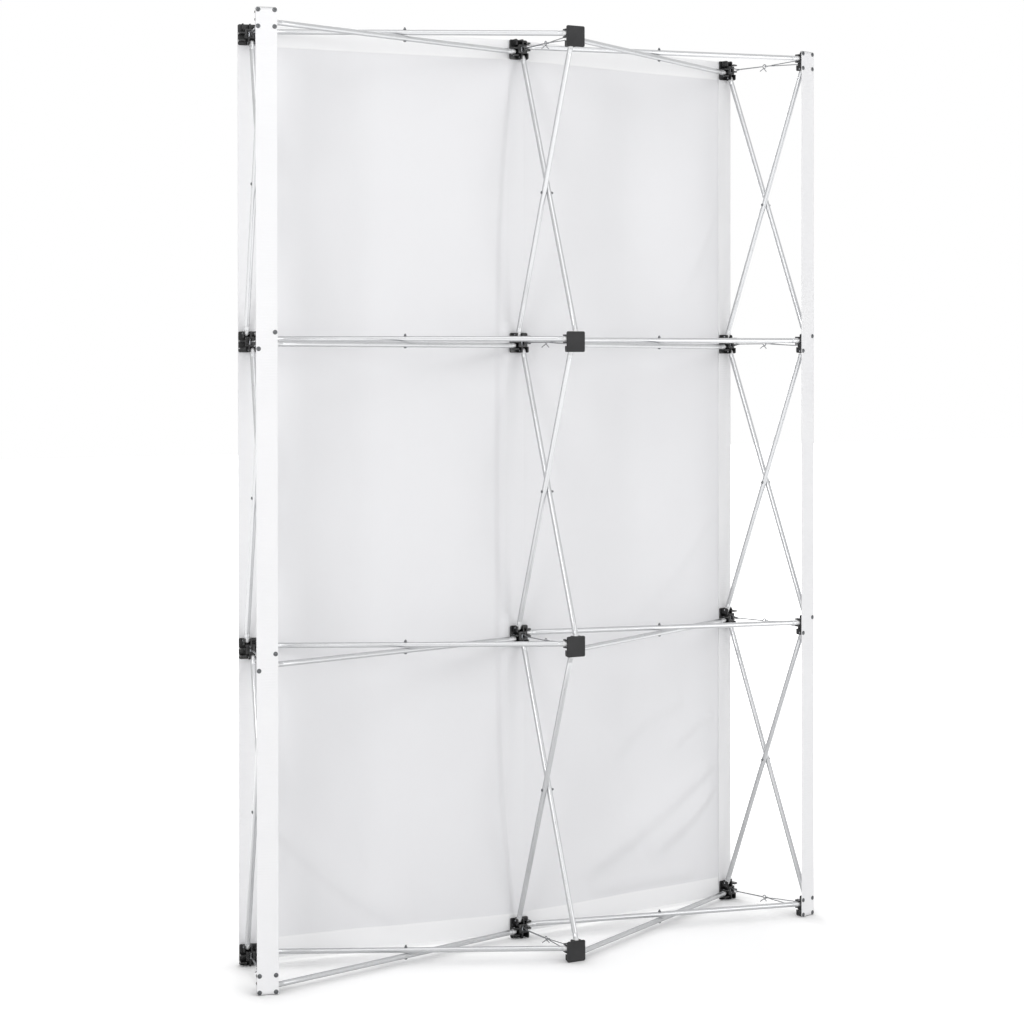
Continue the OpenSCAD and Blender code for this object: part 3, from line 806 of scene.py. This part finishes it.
# Folds pulled by the hem and the hubs, each along a line of points (s from the middle column, z): how
# high the ridge stands towards the frame, and its half width at its two ends
pulls = [(((-0.672, 0.381), (-0.597, 0.332), (-0.495, 0.273), (-0.367, 0.198), (-0.150, 0.122)),
          0.0140, 0.020, 0.058),
         (((-0.668, 0.320), (-0.616, 0.266), (-0.569, 0.229), (-0.420, 0.150)), 0.0110, 0.018, 0.048),
         (((-0.600, 0.082), (-0.458, 0.084), (-0.220, 0.082)), 0.0070, 0.016, 0.022),
         (((-0.665, 0.505), (-0.600, 0.487), (-0.500, 0.430)), 0.0065, 0.017, 0.036),
         (((-0.560, 0.560), (-0.440, 0.520), (-0.300, 0.420)), 0.0085, 0.028, 0.052),
         (((-0.665, 1.850), (-0.600, 1.720), (-0.514, 1.600)), 0.0030, 0.014, 0.040),
         (((-0.665, 1.050), (-0.540, 0.910), (-0.330, 0.745)), 0.0035, 0.016, 0.050),
         (((0.660, 0.350), (0.560, 0.250), (0.440, 0.150), (0.280, 0.050)), 0.0080, 0.022, 0.048),
         (((0.640, 0.720), (0.600, 0.560), (0.560, 0.400)), 0.0030, 0.016, 0.040)]
pulls = [([Vector(point) for point in line], *sizes) for line, *sizes in pulls]
# Wide soft swells away from the frame: middle (s from the middle column), half width and depth
swells = ((0.430, 0.095, 0.0220), (-0.385, 0.100, 0.0190), (0.630, 0.050, -0.0030))
# The long crease beside the middle column bows out between the hems: how far from the column it starts
# and how much farther it gets at mid height, the width of its drop, and its middle and half its height
crease_start, crease_bow, crease_w, crease_middle, crease_half = 0.008, 0.046, 0.018, 1.13, 1.07
# The cloth over that column stands forward: where it starts to, over what width, how far at the rows
# and how much farther between them
over_start, over_w, over_rows, over_between = -0.13, 0.11, 0.0040, 0.0045
# Low ripples all over: their height, and how fast they turn along the cloth and up it
ripple_h, ripple_along, ripple_up = 0.003, 17, 1.3
# Towards its side hems the cloth is held flat: the width of the flat strip and of the rise
held_w, held_rise = 0.06, 0.08


def ridge(at, line, high, near, far):
    """The height of one pulled fold at a point of the cloth. Its lower side is the steeper one."""
    reach = 2.4 * max(near, far)
    if not (min(p.x for p in line) - reach < at.x < max(p.x for p in line) + reach
            and min(p.y for p in line) - reach < at.y < max(p.y for p in line) + reach):
        return 0
    best, gone = None, 0
    whole = sum((b - a).length for a, b in zip(line, line[1:]))
    for a, b in zip(line, line[1:]):
        way = (b - a).normalized()
        along = min((b - a).length, max(0, (at - a).dot(way)))
        gap = at - a - way * along
        if best is None or gap.length < best[0]:
            best = gap.length, gap.cross(way), (gone + along) / whole
        gone += (b - a).length
    away, side, share = best
    steepness = 1.3 if side * (line[0].x - line[-1].x) > 0 else 0.6
    wide = (near + (far - near) * share) * steepness
    return high * (0.6 + 0.7 * share) * hill(away / wide) * smooth(share / 0.1) * smooth((1 - share) / 0.2)


def stands_forward(s, z):
    """How far the cloth stands forward of its flat place."""
    t = s - middle
    cell = (z - row_z(1)) / row_pitch
    rise = abs(math.sin(math.pi * cell)) if 0 <= cell <= cells else 0
    crease = crease_start + crease_bow * (1 - (abs(z - crease_middle) / crease_half) ** 4)
    over = smooth((t - over_start) / over_w) * (1 - smooth((t - crease + crease_w / 2) / crease_w))
    out = (over_rows + over_between * rise ** 0.5) * over
    held = smooth((middle - abs(t) - held_w) / held_rise)
    for centre, wide, deep in swells:
        out += deep * rise ** 0.7 * hill((t - centre) / wide) * held
    out += ripple_h * held * rise * (1 + math.sin(t * ripple_along + z * ripple_up)) / 2
    return out - sum(ridge(Vector((t, z)), *fold) for fold in pulls)


def hem_back(s, z):
    """How far the folded hem stands back from the single cloth."""
    inside = min(s, banner_w - s, z - banner_lift, banner_top - z)
    return hem_t * (1 - smooth((inside - hem + hem_edge) / hem_edge))


def banner_point(s, z):
    """Flat over the hubs of each column, and free between them."""
    at, forward = on_path(s)
    from_column = min(abs(s - mark) for mark in column_marks) - hub_w / 2
    free = smooth(max(from_column, from_row(z)) / 0.03)
    return at + forward * (cloth_stand + free * stands_forward(s, z) - hem_back(s, z)) + Vector((0, 0, z))


# Knitted polyester: dull, slightly bluish white, with fine upright rows of stitches, drawn 1.5 mm apart
# so that they can be seen at all, fuzz about 1 mm and faint clouds 330 mm wide
cloth, tree, shader = finish_named("white knitted display polyester")
cut = node(tree, "ShaderNodeUVMap", uv_map="cut").outputs["UV"]
knit = node(tree, "ShaderNodeTexWave",
            {"Vector": cut, "Scale": bands(0.0015), "Distortion": 1.5, "Detail": 1},
            wave_type="BANDS", bands_direction="X").outputs["Fac"]
fuzz = node(tree, "ShaderNodeTexNoise", {"Vector": cut, "Scale": 900, "Detail": 2}).outputs["Fac"]
cloud = node(tree, "ShaderNodeTexNoise", {"Vector": cut, "Scale": 3, "Detail": 2}).outputs["Fac"]
split = node(tree, "ShaderNodeSeparateXYZ", {"Vector": cut}).outputs

# Worked out for each point: its distance from the nearest edge of the cut, whether the hem doubles the
# cloth there, and whether it lies on a stitch of the seam, which runs 4 mm from the hem's inner edge
seam_in, seam_half, stitch_len, stitch_share = 0.004, 0.0009, 0.004, 0.7
worked = {"x": split["X"], "y": split["Y"], "knit": knit, "fuzz": fuzz}
for name, operation, *values in (
        ("from the right", "SUBTRACT", banner_w, "x"),
        ("from either side", "MINIMUM", "x", "from the right"),
        ("from below", "SUBTRACT", "y", banner_lift), ("from the top", "SUBTRACT", banner_top, "y"),
        ("from either end", "MINIMUM", "from below", "from the top"),
        ("inside", "MINIMUM", "from either side", "from either end"),
        ("doubled", "LESS_THAN", "inside", hem - hem_edge / 2),
        ("past the seam", "SUBTRACT", "inside", hem - seam_in),
        ("off the seam", "ABSOLUTE", "past the seam", 0),
        ("seam", "LESS_THAN", "off the seam", seam_half),
        ("run", "ADD", "x", "y"), ("stitch count", "MULTIPLY", "run", 1 / stitch_len),
        ("stitch part", "FRACT", "stitch count", 0), ("dash", "LESS_THAN", "stitch part", stitch_share),
        ("stitches", "MULTIPLY", "seam", "dash"),
        ("knit height", "MULTIPLY", "knit", 0.4), ("fuzz height", "MULTIPLY", "fuzz", 0.6),
        ("cloth height", "ADD", "knit height", "fuzz height"), ("height", "ADD", "cloth height", "stitches")):
    inputs = dict(enumerate(worked.get(value, value) for value in values))
    worked[name] = node(tree, "ShaderNodeMath", inputs, operation=operation).outputs["Value"]
tone = node(tree, "ShaderNodeMix", {"Factor": cloud, "A": linear("#e6e6e8"), "B": linear("#ebebed")},
            data_type="RGBA")
for share, colour in ((worked["doubled"], "#f4f4f5"), (worked["stitches"], "#f7f7f7")):
    tone = node(tree, "ShaderNodeMix", {"Factor": share, "A": tone.outputs["Result"], "B": linear(colour)},
                data_type="RGBA")
grain = node(tree, "ShaderNodeBump", {"Height": worked["height"], "Strength": 0.22, "Distance": 0.0004})
feed(shader, {"Base Color": tone.outputs["Result"], "Roughness": 0.85, "Normal": grain.outputs["Normal"],
              "Sheen Weight": 0.1})


def on_cut(*lengths):
    """Lengths on the cut in order, rounded so that equal ones from different sums become one."""
    return sorted({round(s, 7) for s in lengths})


# The sheet is made in three pieces that meet in the middle of each bay, so that each follows its own
# column when the frame folds. Their shared normals hide the two meeting lines.
half_bay, grid_step, banner_rows = (marks[1] + marks[2]) / 2, 0.006, 230
cuts = on_cut(0, half_bay, banner_w - half_bay, banner_w)
banner_s = on_cut(*marks, hem - hem_edge, hem, banner_w - hem, banner_w - hem + hem_edge, *(
    s for low, high in zip(cuts, cuts[1:]) for s in steps(low, high, round((high - low) / grid_step))))
banner_z = sorted({*steps(banner_lift, banner_top, banner_rows), banner_lift + hem - hem_edge,
                   banner_lift + hem, banner_top - hem, banner_top - hem + hem_edge})
places = {(s, z): banner_point(s, z) for z in banner_z for s in banner_s}
for column in columns:
    low, high = cuts[column - 1], cuts[column]
    across = [s for s in banner_s if low <= s <= high]
    made = cloth_grid(f"banner_c{column}", across, banner_z, lambda s, z: places[s, z], cloth)
    normals = []
    for j, z in enumerate(banner_z):
        below, above = banner_z[max(j - 1, 0)], banner_z[min(j + 1, len(banner_z) - 1)]
        for s in across:
            i = banner_s.index(s)
            left, right = banner_s[max(i - 1, 0)], banner_s[min(i + 1, len(banner_s) - 1)]
            along, up = places[right, z] - places[left, z], places[s, above] - places[s, below]
            normals.append(along.cross(up).normalized())
    made.data.normals_split_custom_set_from_vertices(normals)
    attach(made, f"front_hub_c{column}_r1")
    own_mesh(made)
    if column == 2:
        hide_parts("banner")

# ---- Floor, backdrop and light --------------------------------------------------------------------
# A white studio sweep that keeps only the wall's contact shadow, a soft key from the upper left of the
# camera, one lamp above, one on the right and one before the banner, and an even light from all round.


def seen_outright(tree):
    """1 for the rays that show a surface to the camera, also in a mirror or through glass, and else 0."""
    rays = node(tree, "ShaderNodeLightPath").outputs
    seen = rays["Is Camera Ray"]
    for kind in ("Is Glossy Ray", "Is Transmission Ray"):
        seen = node(tree, "ShaderNodeMath", {0: seen, 1: rays[kind]}, operation="MAXIMUM").outputs["Value"]
    return seen


floor_w, floor_gap = 60, 0.0005
bpy.ops.object.select_all(action="DESELECT")
bpy.ops.mesh.primitive_plane_add(size=floor_w, location=(0, 0, -floor_gap))
floor = bpy.context.object
floor.name = "studio_floor"
bpy.ops.object.transform_apply(location=True, rotation=True, scale=True)
sweep, tree, paper = finish_named("white studio paper")
feed(paper, {"Base Color": linear("#fafafa"), "Roughness": 0.9})
# The paper is lifted to pure white, except close under the wall, where its contact shadow stays
place = node(tree, "ShaderNodeTexCoord").outputs["Object"]
far = node(tree, "ShaderNodeVectorMath", {0: place}, operation="LENGTH").outputs["Value"]
fade = node(tree, "ShaderNodeMapRange",
            {"Value": far, "From Min": 0.9, "From Max": 1.8, "To Min": 0.22, "To Max": 1.0}).outputs["Result"]
open_sky = node(tree, "ShaderNodeAmbientOcclusion", {"Distance": 0.12}, samples=8).outputs["AO"]
clear = node(tree, "ShaderNodeMapRange",
             {"Value": open_sky, "From Min": 0.72, "From Max": 0.97}).outputs["Result"]
lifted = seen_outright(tree)
for share in (fade, clear):
    lifted = node(tree, "ShaderNodeMath", {0: lifted, 1: share}, operation="MULTIPLY").outputs["Value"]
white = node(tree, "ShaderNodeEmission", {"Color": (1, 1, 1, 1), "Strength": lifted}).outputs["Emission"]
mixed = node(tree, "ShaderNodeAddShader", {0: paper.outputs["BSDF"], 1: white}).outputs["Shader"]
feed(tree.nodes["Material Output"], {"Surface": mixed})
floor.data.materials.append(sweep)

wall_middle = Vector((0, 0, 1.1))
for name, at, size, power in (("overhead", (0.6, 3.0, 4.6), 2.8, 36), ("key", (4.0, 3.2, 2.9), 1.6, 56),
                              ("fill", (-2.0, 5.2, 1.4), 3.0, 57), ("front", (-1.5, -5.0, 2.8), 3.0, 110)):
    bpy.ops.object.light_add(type="AREA", location=at)
    lamp = bpy.context.object
    lamp.name = name
    lamp.data.size = size
    lamp.data.energy = power
    lamp.rotation_euler = (wall_middle - Vector(at)).to_track_quat("-Z", "Y").to_euler()

# A ray that sees the world outright finds it white, and the rest get a little more than half of that
world = bpy.data.worlds.new("white studio")
scene.world = world
world.use_nodes = True
tree = world.node_tree
strength = node(tree, "ShaderNodeMapRange", {"Value": seen_outright(tree), "To Min": 0.55, "To Max": 1.0})
feed(tree.nodes["Background"], {"Color": (1, 1, 1, 1), "Strength": strength.outputs["Result"]})
